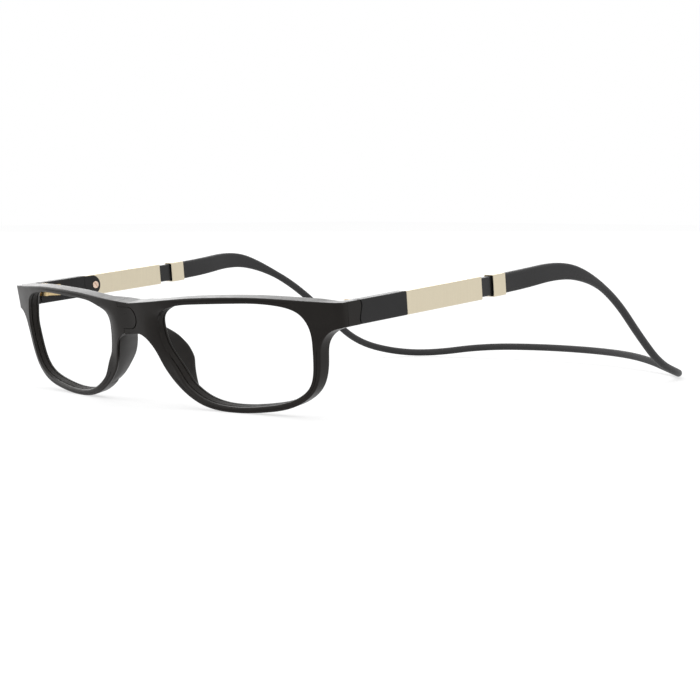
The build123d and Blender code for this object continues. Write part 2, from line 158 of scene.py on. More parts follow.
# Directions of the front and of the temples, and the places that follow from the sizes
tilt = radians(stance["frontTilt"])
rise = radians(stance["templeRise"])
frontBack = np.array([0, cos(tilt), sin(tilt)])
frontUp = np.array([0, -sin(tilt), cos(tilt)])
templeBack = np.array([0, cos(rise), sin(rise)])
templeUp = np.array([0, -sin(rise), cos(rise)])
acrossX = np.array([1.0, 0, 0])
datum = np.array([0, stance["bridgeY"], 0])
lensX = front["bridgeHalf"] + front["lensWidth"] / 2
lensV = front["lensLow"] + front["lensHeight"] / 2
halfWidth = front["bridgeHalf"] + front["lensWidth"] + front["endWidth"]
browV = front["lensLow"] + front["lensHeight"] + front["rimWidth"]
endV = browV - front["endDrop"]
bridgeTopV = browV - front["bridgeDrop"]
bridgeLowV = bridgeTopV - front["bridgeHeight"]
wrapEnd = stance["wrapRadius"] - sqrt(stance["wrapRadius"] ** 2 - halfWidth ** 2)
endPoint = frontUp * endV + frontBack * wrapEnd
templeDatum = datum + np.array([0, 0, endPoint[2] - tan(rise) * endPoint[1]])
middleX = halfWidth - temple["thickness"] / 2
innerX = halfWidth - temple["thickness"]
templeHalf = temple["height"] / 2
tongueV = float(frontUp @ templeUp) * (bridgeTopV + bridgeLowV) / 2


def smooth(x):
    # 3x^2 - 2x^3 between 0 and 1
    x = np.clip(x, 0, 1)
    return x * x * (3 - 2 * x)


def fade(value, span):
    # a share that goes from 0 at the span's first value to 1 at its second
    start, full = span
    return smooth((value - start) / (full - start))


def arcDrop(distance, radius):
    # how far a quarter circle of this radius falls away at a distance from its edge
    inside = np.clip(radius - distance, 0, radius)
    return radius - np.sqrt(np.maximum(radius ** 2 - inside ** 2, 0))


def outerSide(x, v):
    # the product of two shares: it grows towards the outer side, and is there only below the endpiece
    return fade(np.abs(x), front["sideX"]) * fade(v, front["sideV"])


def faceWrap(x, v):
    # the face's depth behind the bridge's foot: a wide circle, shifted beside the nose and at the outer side
    side, least = np.abs(x), front["middleShare"]
    ahead = front["noseForward"] - front["noseBack"] * fade(v, front["noseBackV"])
    return (stance["wrapRadius"] - np.sqrt(stance["wrapRadius"] ** 2 - x ** 2)
            - ahead * (least + (1 - least) * fade(side, front["nearMiddleX"])) * fade(side, front["noseX"])
            - front["sideForward"] * outerSide(x, v))


def frontPoint(x, v, w):
    # across, up the leaning face, then back from its curved surface
    wrap = faceWrap(x, v)
    lean = fade(np.abs(x), front["leanX"])[..., None]
    back = frontBack * (1 - lean) + templeBack * lean
    return (datum + acrossX * x[..., None] + frontUp * v[..., None] + frontBack * wrap[..., None]
            + back * w[..., None])


def templePoint(x, t, v):
    # across, back along the temple, up across it
    return templeDatum + acrossX * x[..., None] + templeBack * t[..., None] + templeUp * v[..., None]


def throughPoints(points, closed=False):
    # the cubic whose bend is continuous through the points, by chord length; it is straight at open ends
    p = np.array(points, float)
    if closed:
        p = np.vstack([p, p[:1]])
    spans = len(p) - 1
    h = np.linalg.norm(np.diff(p, axis=0), axis=1)
    slope = np.diff(p, axis=0) / h[:, None]
    size = spans if closed else spans + 1
    a = np.eye(size)
    b = np.zeros((size, p.shape[1]))
    for i in range(0 if closed else 1, spans):
        a[i] = 0
        a[i, (i - 1) % size] += h[i - 1]
        a[i, i] += 2 * (h[i - 1] + h[i])
        a[i, (i + 1) % size] += h[i]
        b[i] = 6 * (slope[i] - slope[i - 1])
    bend = np.linalg.solve(a, b)
    if closed:
        bend = np.vstack([bend, bend[:1]])
    u = np.linspace(0, 1, lineSteps, endpoint=False)[None, :, None]
    reach = h[:, None, None] ** 2 / 6
    line = (p[:-1, None] * (1 - u) + p[1:, None] * u
            + ((1 - u) ** 3 - (1 - u)) * bend[:-1, None] * reach + (u ** 3 - u) * bend[1:, None] * reach)
    line = line.reshape(-1, p.shape[1])
    return np.vstack([line, p[-1:]])


def spread(line, count):
    # points at even steps along a line, its ends among them
    along = np.concatenate([[0], np.cumsum(np.linalg.norm(np.diff(line, axis=0), axis=1))])
    at = np.linspace(0, along[-1], count)
    return np.stack([np.interp(at, along, line[:, k]) for k in range(line.shape[1])], axis=1)


def beside(points, distances):
    # the first points of a closed line, moved by their distances at right angles to the line between their neighbours
    along = np.roll(points, -1, axis=0) - np.roll(points, 1, axis=0)
    along /= np.linalg.norm(along, axis=1)[:, None]
    moves = np.stack([along[:, 1], -along[:, 0]], axis=1)[:len(distances)] * np.array(distances)[:, None]
    return points[:len(distances)] + moves


def skin(name, grid, closedRows=False, uv=None):
    # a surface over a grid of points: each row closes on itself, and the rows close too or end in fans
    rows, cols = grid.shape[:2]
    verts = grid.reshape(-1, 3)
    c = np.arange(cols)
    rr, cc = np.meshgrid(np.arange(rows if closedRows else rows - 1), c, indexing="ij")
    rn, cn = (rr + 1) % rows, (cc + 1) % cols
    faces = [np.stack([rr * cols + cc, rr * cols + cn, rn * cols + cn, rn * cols + cc], axis=-1).reshape(-1, 4)]
    if not closedRows:
        verts = np.vstack([verts, grid[0].mean(0), grid[-1].mean(0)])
        tip, base = rows * cols, (rows - 1) * cols
        faces.append(np.stack([np.full(cols, tip), (c + 1) % cols, c], axis=1))
        faces.append(np.stack([np.full(cols, tip + 1), base + c, base + (c + 1) % cols], axis=1))
    centre = verts.mean(0)
    volume = 0
    for part in faces:
        p = verts[part] - centre
        for k in range(1, part.shape[1] - 1):
            volume += np.einsum("ij,ij->i", p[:, 0], np.cross(p[:, k], p[:, k + 1])).sum()
    if volume < 0:
        faces = [part[:, ::-1] for part in faces]
    mesh = bpy.data.meshes.new(name)
    mesh.from_pydata((verts * mm).tolist(), [], [face for part in faces for face in part.tolist()])
    mesh.polygons.foreach_set("use_smooth", np.ones(len(mesh.polygons), bool))
    if uv is not None:
        layer = mesh.uv_layers.new(name="UVMap")
        full = np.vstack([uv.reshape(-1, 2), uv[0].mean(0), uv[-1].mean(0)])
        index = np.zeros(len(mesh.loops), np.int32)
        mesh.loops.foreach_get("vertex_index", index)
        layer.data.foreach_set("uv", full[index].astype(np.float32).ravel())
    return placed(name, mesh)


def placed(name, mesh):
    # an object that stands where its data is worked out
    piece = bpy.data.objects.new(name, mesh)
    bpy.context.scene.collection.objects.link(piece)
    return piece


def joined(name, pieces):
    # several closed skins in one mesh
    shape = bmesh.new()
    for piece in pieces:
        shape.from_mesh(piece.data)
        bpy.data.objects.remove(piece)
    mesh = bpy.data.meshes.new(name)
    shape.to_mesh(mesh)
    shape.free()
    return placed(name, mesh)


def twin(piece, name):
    # the same shape on the other side of the middle, with its faces turned back outwards
    mesh = piece.data.copy()
    places = np.zeros(len(mesh.vertices) * 3, np.float32)
    mesh.vertices.foreach_get("co", places)
    places[::3] *= -1
    mesh.vertices.foreach_set("co", places)
    mesh.flip_normals()
    return placed(name, mesh)


def cutBy(piece, cutter, name):
    # takes the cutter's solid away from the piece
    cut = piece.modifiers.new("cut", "BOOLEAN")
    cut.operation = "DIFFERENCE"
    cut.solver = "MANIFOLD"
    cut.object = cutter
    shape = piece.evaluated_get(bpy.context.evaluated_depsgraph_get())
    mesh = bpy.data.meshes.new_from_object(shape)
    bpy.data.objects.remove(piece)
    bpy.data.objects.remove(cutter)
    return placed(name, mesh)


def finished(piece, material, body, node):
    # edges sharper than an angle stay crisp; the piece rides on its body and stands for its node
    piece.data.set_sharp_from_angle(angle=radians(sharpAngle))
    piece.data.materials.clear()
    piece.data.materials.append(material)
    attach(piece, body)
    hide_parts(node)


def roundedRects(halfX, halfV, radius, arc=7, sides=(0.03, 0.2, 0.5, 0.8, 0.97)):
    # rows of round-cornered rectangles, anticlockwise, with points along their sides to keep them flat
    halfX, halfV, radius = (np.asarray(value, float)[:, None] for value in (halfX, halfV, radius))
    radius = np.clip(radius, 0.01, np.minimum(halfX, halfV) * 0.999)
    parts = []
    corners = [(1, 1), (-1, 1), (-1, -1), (1, -1)]
    for k, (signX, signV) in enumerate(corners):
        turn = k * pi / 2 + np.linspace(0, pi / 2, arc)[None]
        x = signX * (halfX - radius) + radius * np.cos(turn)
        v = signV * (halfV - radius) + radius * np.sin(turn)
        nextX, nextV = corners[(k + 1) % 4]
        endX = nextX * (halfX - radius) + radius * cos((k + 1) * pi / 2)
        endY = nextV * (halfV - radius) + radius * sin((k + 1) * pi / 2)
        share = np.array(sides)[None]
        parts.append(np.stack([x, v], axis=-1))
        parts.append(np.stack([x[:, -1:] + (endX - x[:, -1:]) * share, v[:, -1:] + (endY - v[:, -1:]) * share],
                              axis=-1))
    return np.concatenate(parts, axis=1)


barEnd = {
    "socketEdge": 0.08,     # a socket's mouth and floor are eased by this
    "insets": (0.3, 0.04),  # rows on a closed end's face
    "margin": 0.05,
}


def endRows(t, inward, size, corner, radius, wave=0.0, socket=None, depth=0.0):
    # rows of a bar's end, from its middle or the floor of its socket, round the edge, to the full section
    rows = []
    halfX, halfV = size
    if socket:
        socketX, socketV, socketCorner = socket
        edge = barEnd["socketEdge"]
        for back, grow in ((depth, -edge), (depth, 0), (depth - edge, 0), (2 * edge, 0), (edge, 0),
                           (edge / 4, edge * 3 / 8), (0, edge)):
            rows.append((t + inward * back, socketX + grow, socketV + grow, socketCorner, wave, 0))
    else:
        for inset in barEnd["insets"]:
            rows.append((t, halfX - radius - inset, halfV - radius - inset, corner, wave, 0))
    for turn in np.linspace(0, pi / 2, 6):
        inset = radius * (1 - sin(turn))
        rows.append((t + inward * radius * (1 - cos(turn)), halfX - inset, halfV - inset, corner, wave, 1))
    rows.append((t + inward * (radius + barEnd["margin"]), halfX, halfV, corner, wave, 1))
    return rows


def bar(name, first, last, between=(), bow=0.0):
    # rounded rectangles carried along the temple between two ends; a bow swells the sides by 1 - u^2
    rows = np.array(list(first) + list(between) + list(last)[::-1], float)
    t, halfX, halfV, corner, wave, outer = rows.T
    middle, half = (t.max() + t.min()) / 2, (t.max() - t.min()) / 2
    halfX = halfX + bow * outer * (1 - ((t - middle) / half) ** 2)
    inset = np.minimum(halfX.max() - halfX, halfV.max() - halfV)
    ring = roundedRects(halfX, halfV, np.maximum(corner - inset * outer, 0.05))
    shift = wave[:, None] * np.sin(2 * pi * ring[..., 1] / temple["height"])
    return skin(name, templePoint(ring[..., 0] + middleX, t[:, None] + shift, ring[..., 1]))


print("sizes and helpers ready")


class Value:
    # wraps a socket, so that a sum or a product of values adds its Math node
    def __init__(self, maker, socket):
        self.maker, self.socket = maker, socket

    def __add__(self, other): return self.maker.combine("ADD", self, other)
    def __mul__(self, other): return self.maker.combine("MULTIPLY", self, other)


class Finish:
    # one material or world, and the ways its nodes are added
    middle = (0.35, 0.65, 0.0, 1.0)     # the part of a noise that holds most of its values, drawn out to 0 to 1

    def __init__(self, owner):
        self.owner = owner
        owner.use_nodes = True
        self.tree = owner.node_tree
        self.tree.nodes.clear()

    def node(self, kind, settings=None, inputs=None, output=0):
        # a new node with its settings and inputs, handed on as one of its outputs
        made = self.tree.nodes.new(kind)
        for key, value in (settings or {}).items():
            setattr(made, key, value)
        for key, value in (inputs or {}).items():
            if isinstance(value, Value):
                self.tree.links.new(value.socket, made.inputs[key])
            else:
                made.inputs[key].default_value = value
        return Value(self, made.outputs[output])

    def combine(self, operation, first, second):
        # one Math node on two values
        return self.node("ShaderNodeMath", {"operation": operation}, {0: first, 1: second})

    def place(self, scale=(1, 1, 1), uv=False):
        # the piece's own coordinates, stretched
        where = self.node("ShaderNodeTexCoord", output="UV" if uv else "Object")
        return self.node("ShaderNodeMapping", None, {"Vector": where, "Scale": scale})

    def noise(self, where, scale, detail=2.0, roughness=0.5):
        # smooth random values between 0 and 1; the scale is waves per metre
        return self.node("ShaderNodeTexNoise", None,
                         {"Vector": where, "Scale": scale, "Detail": detail, "Roughness": roughness})

    def ranged(self, value, low, high, newLow, newHigh):
        # a straight line from (low, newLow) to (high, newHigh), level beyond both
        return self.node("ShaderNodeMapRange", {"clamp": True},
                         {0: value, 1: low, 2: high, 3: newLow, 4: newHigh})

    def blendColours(self, share, first, second):
        # the Mix node's colour sockets stand at 6 and 7, its result at 2
        return self.node("ShaderNodeMix", {"data_type": "RGBA"}, {0: share, 6: first, 7: second}, output=2)

    def bump(self, height, strength, distance):
        # a normal leant by the height's slope
        return self.node("ShaderNodeBump", None, {"Height": height, "Strength": strength, "Distance": distance})

    def close(self, surface, kind="Material"):
        out = self.tree.nodes.new("ShaderNodeOutput" + kind)
        self.tree.links.new(surface.socket, out.inputs["Surface"])
        return self.owner


def shades(colour, factors):
    # the colour times each factor, 1 at most
    return [tuple(min(1.0, part * factor) for part in colour) + (1.0,) for factor in factors]


def around(value, offsets):
    # the value plus each offset
    return [value + offset for offset in offsets]


plastic = {
    "frontColour": (0.0105, 0.0082, 0.0064),
    "templeColour": (0.0165, 0.016, 0.0165),
    "stripColour": (0.012, 0.012, 0.0125),
    "gloss": 0.24,
    "stripGloss": 0.4,
    "roughness": 0.32,
    "templeDuller": 0.02,
    "stripDuller": 0.03,
    "wallDuller": 0.3,
    "grain": 0.18,          # millimetres
    "grainHeight": 0.0012,
    "drift": 90.0,          # waves per metre, as for every noise
    "handled": 420.0,
    "tones": (0.86, 1.18),
    "sheen": (-0.05, 0.06),
}


def satinPlastic(name, colour, roughness, gloss, duller=0.0):
    # tone and sheen follow sums of a slow noise and a handled one, mould grain leans the normal;
    # the surface is duller where the UV map's u is 1
    finish = Finish(bpy.data.materials.new(name))
    where = finish.place()
    grain = finish.noise(where, 1 / (plastic["grain"] * mm), 3.0, 0.6)
    drift = finish.noise(where, plastic["drift"], 2.0, 0.5)
    handled = finish.noise(where, plastic["handled"], 4.0, 0.6)
    tone = finish.ranged(drift * 0.7 + handled * 0.3, *finish.middle)
    base = finish.blendColours(tone, *shades(colour, plastic["tones"]))
    rough = finish.ranged(handled * 0.6 + drift * 0.4, 0.3, 0.7, *around(roughness, plastic["sheen"]))
    if duller:
        rough = rough + finish.node("ShaderNodeSeparateXYZ", None, {"Vector": finish.place(uv=True)}) * duller
    normal = finish.bump(grain, 0.2, plastic["grainHeight"] * mm)
    return finish.close(finish.node("ShaderNodeBsdfPrincipled", None,
                                    {"Base Color": base, "Roughness": rough, "Specular IOR Level": gloss,
                                     "Normal": normal}))


metal = {
    "sleeveColour": (0.67, 0.60, 0.455),
    "hingeColour": (0.66, 0.50, 0.27),
    "screwColour": (0.74, 0.56, 0.45),
    "magnetColour": (0.62, 0.62, 0.62),
    "sleeveRoughness": 0.36,
    "hingeRoughness": 0.3,
    "screwRoughness": 0.2,
    "magnetRoughness": 0.25,
    "brushPitch": 0.09,     # millimetres between the brush lines
    "brushHeight": 0.003,
    "brushTones": (0.97, 1.03),
    "brushSheen": (-0.07, 0.08),
    "smudge": 260.0,
    "haze": 900.0,
    "pits": 6000.0,
    "pitDepth": 0.004,
    "hazeTones": (0.9, 1.08),
    "hazeSheen": (-0.06, 0.08),
}


def brushedMetal(name, colour, roughness):
    # brush lines run up across the temple: noise that is fine along Y and long along Z, plus faint smudges
    finish = Finish(bpy.data.materials.new(name))
    fine = 1 / (metal["brushPitch"] * mm)
    lines = finish.noise(finish.place((fine * 0.25, fine, fine * 0.03)), 1.0, 3.0, 0.65)
    broad = finish.noise(finish.place((fine * 0.05, fine * 0.2, fine * 0.01)), 1.0, 2.0, 0.5)
    smudge = finish.noise(finish.place(), metal["smudge"], 3.0, 0.55)
    mix = lines * 0.6 + broad * 0.4
    base = finish.blendColours(finish.ranged(mix, *finish.middle), *shades(colour, metal["brushTones"]))
    rough = finish.ranged(mix * 0.7 + smudge * 0.3, 0.3, 0.7, *around(roughness, metal["brushSheen"]))
    normal = finish.bump(lines, 0.2, metal["brushHeight"] * mm)
    return finish.close(finish.node("ShaderNodeBsdfPrincipled", None,
                                    {"Base Color": base, "Metallic": 1.0, "Roughness": rough, "Normal": normal}))


def turnedMetal(name, colour, roughness):
    # polished metal: a light haze drives its tone, haze and tiny pits its sheen, the pits lean the normal
    finish = Finish(bpy.data.materials.new(name))
    where = finish.place()
    haze = finish.noise(where, metal["haze"], 3.0, 0.6)
    pits = finish.noise(where, metal["pits"], 2.0, 0.5)
    base = finish.blendColours(finish.ranged(haze, *finish.middle), *shades(colour, metal["hazeTones"]))
    rough = finish.ranged(haze * 0.5 + pits * 0.5, *finish.middle[:2], *around(roughness, metal["hazeSheen"]))
    normal = finish.bump(pits, 0.2, metal["pitDepth"] * mm)
    return finish.close(finish.node("ShaderNodeBsdfPrincipled", None,
                                    {"Base Color": base, "Metallic": 1.0, "Roughness": rough, "Normal": normal}))


rubber = {
    "colour": (0.034, 0.0335, 0.0345),
    "pebbles": 2600.0,
    "grain": 5200.0,
    "drift": 60.0,
    "dust": 1100.0,
    "height": 0.012,
    "tones": (0.88, 1.12, 1.5),     # dark, light and dusty
    "roughness": (0.56, 0.74),
}


def softRubber(name, colour):
    # matt rubber: pebbles and grain lean the normal, a slow noise drives the tone, dust lightens and dulls it
    finish = Finish(bpy.data.materials.new(name))
    where = finish.place()
    pebbles = finish.node("ShaderNodeTexVoronoi", {"feature": "F1"}, {"Vector": where, "Scale": rubber["pebbles"]})
    grain = finish.noise(where, rubber["grain"], 2.0, 0.6)
    drift = finish.noise(where, rubber["drift"], 3.0, 0.55)
    dust = finish.ranged(finish.noise(where, rubber["dust"], 5.0, 0.7), 0.5, 0.75, 0.0, 0.35)
    dark, light, dustTone = shades(colour, rubber["tones"])
    base = finish.blendColours(finish.ranged(drift, *finish.middle), dark, light)
    dusty = finish.blendColours(dust, base, dustTone)
    rough = finish.ranged(grain + dust * 0.5, 0.35, 0.9, *rubber["roughness"])
    normal = finish.bump(pebbles * 0.6 + grain * 0.4, 0.35, rubber["height"] * mm)
    return finish.close(finish.node("ShaderNodeBsdfPrincipled", None,
                                    {"Base Color": dusty, "Roughness": rough, "Specular IOR Level": 0.3,
                                     "Sheen Weight": 0.12, "Sheen Roughness": 0.4, "Normal": normal}))


clear = {
    "tint": (0.995, 0.998, 0.998, 1),
    "shine": (0.98, 0.99, 1.0, 1),
    "streaks": (60, 60, 260),
    "streakRoughness": 0.06,
    "shineFrom": 0.7,       # 0 is a view straight on, 1 a grazing one
    "shineShare": 0.35,
}


def clearLens(name):
    # a see-through shader mixed with a reflection, whose share grows in a straight line at a grazing view;
    # very faint wiped streaks dull it
    finish = Finish(bpy.data.materials.new(name))
    streaks = finish.noise(finish.place(clear["streaks"]), 1.0, 4.0, 0.6)
    rough = finish.ranged(streaks, 0.4, 0.7, 0.0, clear["streakRoughness"])
    edge = finish.node("ShaderNodeLayerWeight", None, {"Blend": 0.5}, output=1)
    share = finish.ranged(edge, clear["shineFrom"], 1.0, 0.0, clear["shineShare"])
    through = finish.node("ShaderNodeBsdfTransparent", None, {"Color": clear["tint"]})
    shine = finish.node("ShaderNodeBsdfPrincipled", None,
                        {"Base Color": clear["shine"], "Metallic": 1.0, "Roughness": rough})
    return finish.close(finish.node("ShaderNodeMixShader", None, {0: share, 1: through, 2: shine}))


frontPlastic = satinPlastic("front_satin_black", plastic["frontColour"], plastic["roughness"], plastic["gloss"],
                            plastic["wallDuller"])
templePlastic = satinPlastic("temple_charcoal", plastic["templeColour"],
                             plastic["roughness"] + plastic["templeDuller"], plastic["gloss"])
stripPlastic = satinPlastic("strip_black", plastic["stripColour"], plastic["roughness"] + plastic["stripDuller"],
                            plastic["stripGloss"])
sleeveMetal = brushedMetal("champagne_brushed", metal["sleeveColour"], metal["sleeveRoughness"])
hingeMetal = turnedMetal("hinge_gold", metal["hingeColour"], metal["hingeRoughness"])
screwMetal = turnedMetal("screw_rose_gold", metal["screwColour"], metal["screwRoughness"])
magnetMetal = turnedMetal("magnet_nickel", metal["magnetColour"], metal["magnetRoughness"])
strapRubber = softRubber("strap_charcoal", rubber["colour"])
lensGlass = clearLens("lens_clear")
print("materials ready")

# Front halves
opening = np.array([(lensX + x * front["lensWidth"], lensV + v * front["lensHeight"])
                    for x, v in front["openingShares"]])
openingLine = throughPoints(opening, closed=True)
rimEdge = beside(opening, [share * front["rimWidth"] for share in front["rimWidthShares"]])


def openingSpan(start, end):
    # part of the opening's line, between two of its points by number; part numbers lie between points
    return openingLine[int(round(start * lineSteps)):int(round(end * lineSteps)) + 1]


def halfOutline():
    # pairs of lines, one along the lens opening and one along the half's outer edge, that bound strips of it
    side = halfWidth
    low = throughPoints([(side, endV - templeHalf)]
                        + [(side - x * front["endWidth"], endV - templeHalf - v * temple["height"])
                           for x, v in front["armpitShares"]]
                        + list(rimEdge[::-1])
                        + [(x * front["bridgeHalf"], bridgeLowV - v * front["bridgeHeight"])
                           for x, v in front["archShares"]] + [(0, bridgeLowV)])[::-1]
    top = throughPoints([(0, bridgeTopV)] + [(x * side, bridgeTopV + v * front["bridgeDrop"])
                                             for x, v in front["browShares"]] + [(side, endV + templeHalf)])[::-1]
    radius = front["endCorner"]
    turn = np.linspace(0, pi / 2, 7)
    upper = np.stack([side - radius + radius * np.cos(turn), endV + templeHalf - radius + radius * np.sin(turn)], 1)
    lower = np.stack([side - radius + radius * np.sin(turn), radius - templeHalf + endV - radius * np.cos(turn)], 1)
    low = low[low[:, 0] < side - radius]
    top = top[top[:, 0] < side - radius]
    nose = int(np.argmin(np.linalg.norm(low - rimEdge[0], axis=1)))
    spans = [(openingSpan(i, i + 1), low[nose + lineSteps * i:nose + lineSteps * (i + 1) + 1]) for i in range(7)]
    spans.append((openingSpan(7, 8), np.vstack([low[nose + lineSteps * 7:], lower[:1]])))
    spans.append((openingSpan(8, 9), np.vstack([lower[:-1], np.linspace(lower[-1], upper[0], front["endSteps"]),
                                              upper[1:]])))
    cuts = [0] + [int(np.argmin(np.abs(top[:, 0] - x))) + 1 for x in front["topCuts"]]
    top = np.vstack([upper[-1:], top])
    for k in range(4):
        spans.append((openingSpan(9 + k, 10 + k), top[cuts[k]:cuts[k + 1] + 1]))
    past = -front["overlap"]
    arch = nose - lineSteps
    topPast = (top[top[:, 0] < -past] * (-1, 1))[::-1][1:]
    lowPast = (low[low[:, 0] < front["archPast"]] * (-1, 1))[::-1]
    corners = np.array([(past, topPast[-1, 1]), (past, lowPast[0, 1])])
    spans.append((openingSpan(13, 14), np.vstack([top[cuts[4]:], topPast, corners[:1]])))
    spans.append((openingSpan(14, 14.5), corners))
    spans.append((openingSpan(14.5, 14.8), np.vstack([corners[1:], lowPast])))
    spans.append((openingSpan(14.8, 15), low[:arch + 1]))
    spans.append((openingSpan(15, 16), low[arch:nose + 1]))
    return spans


def rimBlank():
    # each section runs from the opening to the outer edge and round: a slab with rounded edges, whose depth grows
    # smoothly at the bridge; beside the nose its face falls away by a power of the distance from the opening
    near, far = [], []
    for k, (inner, outer) in enumerate(halfOutline()):
        if k == 8:
            # the endpiece's upright keeps its own points, and the opening's are spaced as they are
            along = np.concatenate([[0], np.cumsum(np.linalg.norm(np.diff(outer, axis=0), axis=1))])
            at = np.linspace(0, 1, len(inner)) * along[-1]
            near.append(np.stack([np.interp(along, at, inner[:, j]) for j in (0, 1)], 1)[:-1])
            far.append(outer[:-1])
            continue
        length = np.linalg.norm(np.diff(outer, axis=0), axis=1).sum()
        count = max(5, int(length / front["stepAlong"]))
        near.append(spread(inner, count)[:-1])
        far.append(spread(outer, count)[:-1])
    near, far = np.vstack(near), np.vstack(far)
    width = np.linalg.norm(far - near, axis=1)[:, None]
    edge = front["edgeRadius"]
    nearX, nearV, farX, farV = near[:, 0], near[:, 1], far[:, 0], far[:, 1]
    noseShare = fade(nearX, front["rollX"]) * fade(nearV, front["rollV"])
    lipShare = fade(nearX, front["lipX"]) * fade(nearV, front["lipTopV"]) * fade(nearV, front["lipV"])
    reach = np.minimum(front["cornerRadius"], width * 0.5)
    back = np.minimum(front["backRadius"], width * 0.3)
    turn = np.linspace(pi / 2, 0, 7)[None]
    outTurn = np.linspace(0, pi / 2, 13)[None]
    firstD = edge * (1 - np.sin(turn)) * np.ones_like(width)
    lastD = width - reach * (1 - np.sin(outTurn))
    roll = edge + (np.minimum(front["noseRoll"], width * 0.6) - edge) * np.array([0.12, 0.28, 0.46, 0.64, 0.82, 1])
    middle = roll[:, -1:] + (lastD[:, :1] - roll[:, -1:]) * np.array([0.14, 0.32, 0.5, 0.68, 0.86])
    frontD = np.hstack([firstD, roll, middle, lastD])

    def at(d):
        # the place on each section at a distance from the opening
        return near[:, None] + (far - near)[:, None] * (d / width)[..., None]

    def corner(x):
        # the endpiece's upright corner, a quarter circle seen from above
        return arcDrop(halfWidth - x, front["cornerRadius"])

    def depth(place):
        # the rim's depth, more at the bridge and less at the outer side
        x, v = place[..., 0], place[..., 1]
        return (front["rimDepth"] + (front["bridgeDepth"] - front["rimDepth"]) * fade(np.abs(x), front["bridgeX"])
                - front["sideThin"] * outerSide(x, v))

    place = at(frontD)
    rolled = np.clip(1 - frontD / front["noseRoll"], 0, 1) ** front["rollPower"]
    rolled = rolled * front["noseDrop"] * noseShare[:, None]
    frontW = corner(place[..., 0]) + arcDrop(frontD, edge) + arcDrop(width - frontD, edge) + rolled
    wallD = width * np.ones((1, 4))
    wallStart, wallEnd = frontW[:, -1:], depth(at(wallD)[:, :1]) - back
    wallW = wallStart + (wallEnd - wallStart) * np.array([[0.08, 0.4, 0.7, 0.95]])
    backTurn = np.linspace(0, pi / 2, 6)[None]
    outD = width - back * (1 - np.cos(backTurn))
    outW = depth(at(outD)) - back * (1 - np.sin(backTurn))
    inD = back * (1 - np.cos(backTurn[:, ::-1]))
    inW = depth(at(inD)) - back * (1 - np.sin(backTurn[:, ::-1]))
    flatD = outD[:, -1:] + (inD[:, :1] - outD[:, -1:]) * np.array([0.08, 0.22, 0.36, 0.5, 0.64, 0.78, 0.92])
    flatW = depth(at(flatD))
    half, cut, edging = front["grooveHalf"], front["grooveDepth"], front["grooveEdge"]
    between = sum(front["grooves"]) / 2
    marks = []
    for w in front["grooves"][::-1]:
        marks += [(w + half + edging, 0), (w + half, 0), (w + half * 0.3, cut), (w - half * 0.3, cut),
                  (w - half, 0), (w - half - edging, 0)]
    marks.insert(6, (between, 0))
    marks = np.array(marks)
    grooveD = np.ones((len(width), 1)) * marks[:, 1] * np.minimum(1, width / front["grooveWidth"])
    thinner = front["sideThin"] * outerSide(nearX, nearV)[:, None]
    grooveW = marks[:, 0] - thinner * (marks[:, 0] > between)
    allD = np.hstack([frontD, wallD, outD, flatD, inD, grooveD])
    allW = np.hstack([frontW, wallW, outW, flatW, inW, grooveW])
    lip = np.clip(1 - allD / front["lipReach"], 0, 1) ** front["lipPower"] * front["noseLip"] * lipShare[:, None]
    step = fade(farX, front["stepX"]) * fade(farV, front["stepV"]) * fade(farV - bridgeLowV, front["stepTop"])
    step = step[:, None] * fade(allW, front["stepW"]) * front["noseStep"] * allD / width
    place = at(allD - lip - step)
    # the walls of the lens opening are marked by u = 1 for their duller finish
    wall = np.zeros(allD.shape)
    wall[:, -grooveD.shape[1]:] = 1
    return skin("blank", frontPoint(place[..., 0], place[..., 1], allW), closedRows=True,
                uv=np.stack([wall, wall * 0], axis=-1))


def seamCutter(side):
    # the seam's outline, a straight line with a D-shaped tongue, carried along the temples' line
    grow = seam["leftBack"] if side == "left" else -seam["rightBack"]
    top, low, radius = seam["topX"] + grow, seam["lowX"] + grow, seam["tongueRadius"] + grow
    centre = seam["tongueX"] + (seam["recessShift"] if side == "left" else 0)
    turn = np.linspace(-pi / 2, pi / 2, 41)
    tongue = np.stack([centre + radius * np.cos(turn), tongueV + radius * np.sin(turn)], 1)
    reach = seam["cutReach"]
    far = -reach if side == "left" else reach
    outline = np.vstack([[(far, -reach), (low, -reach), (low, tongueV - radius)], tongue,
                         [(top, tongueV + radius), (top, reach), (far, reach)]])
    count = len(outline)
    rings = [datum + acrossX * outline[:, :1] + templeUp * outline[:, 1:] + templeBack * t
             for t in seam["cutAlong"]]
    quads = [(i, (i + 1) % count, count + (i + 1) % count, count + i) for i in range(count)]
    mesh = bpy.data.meshes.new("cutter")
    mesh.from_pydata((np.vstack(rings) * mm).tolist(), [],
                     quads + [tuple(range(count))[::-1], tuple(range(count, 2 * count))])
    shape = bmesh.new()
    shape.from_mesh(mesh)
    bmesh.ops.recalc_face_normals(shape, faces=shape.faces)
    shape.to_mesh(mesh)
    shape.free()
    return placed("cutter", mesh)


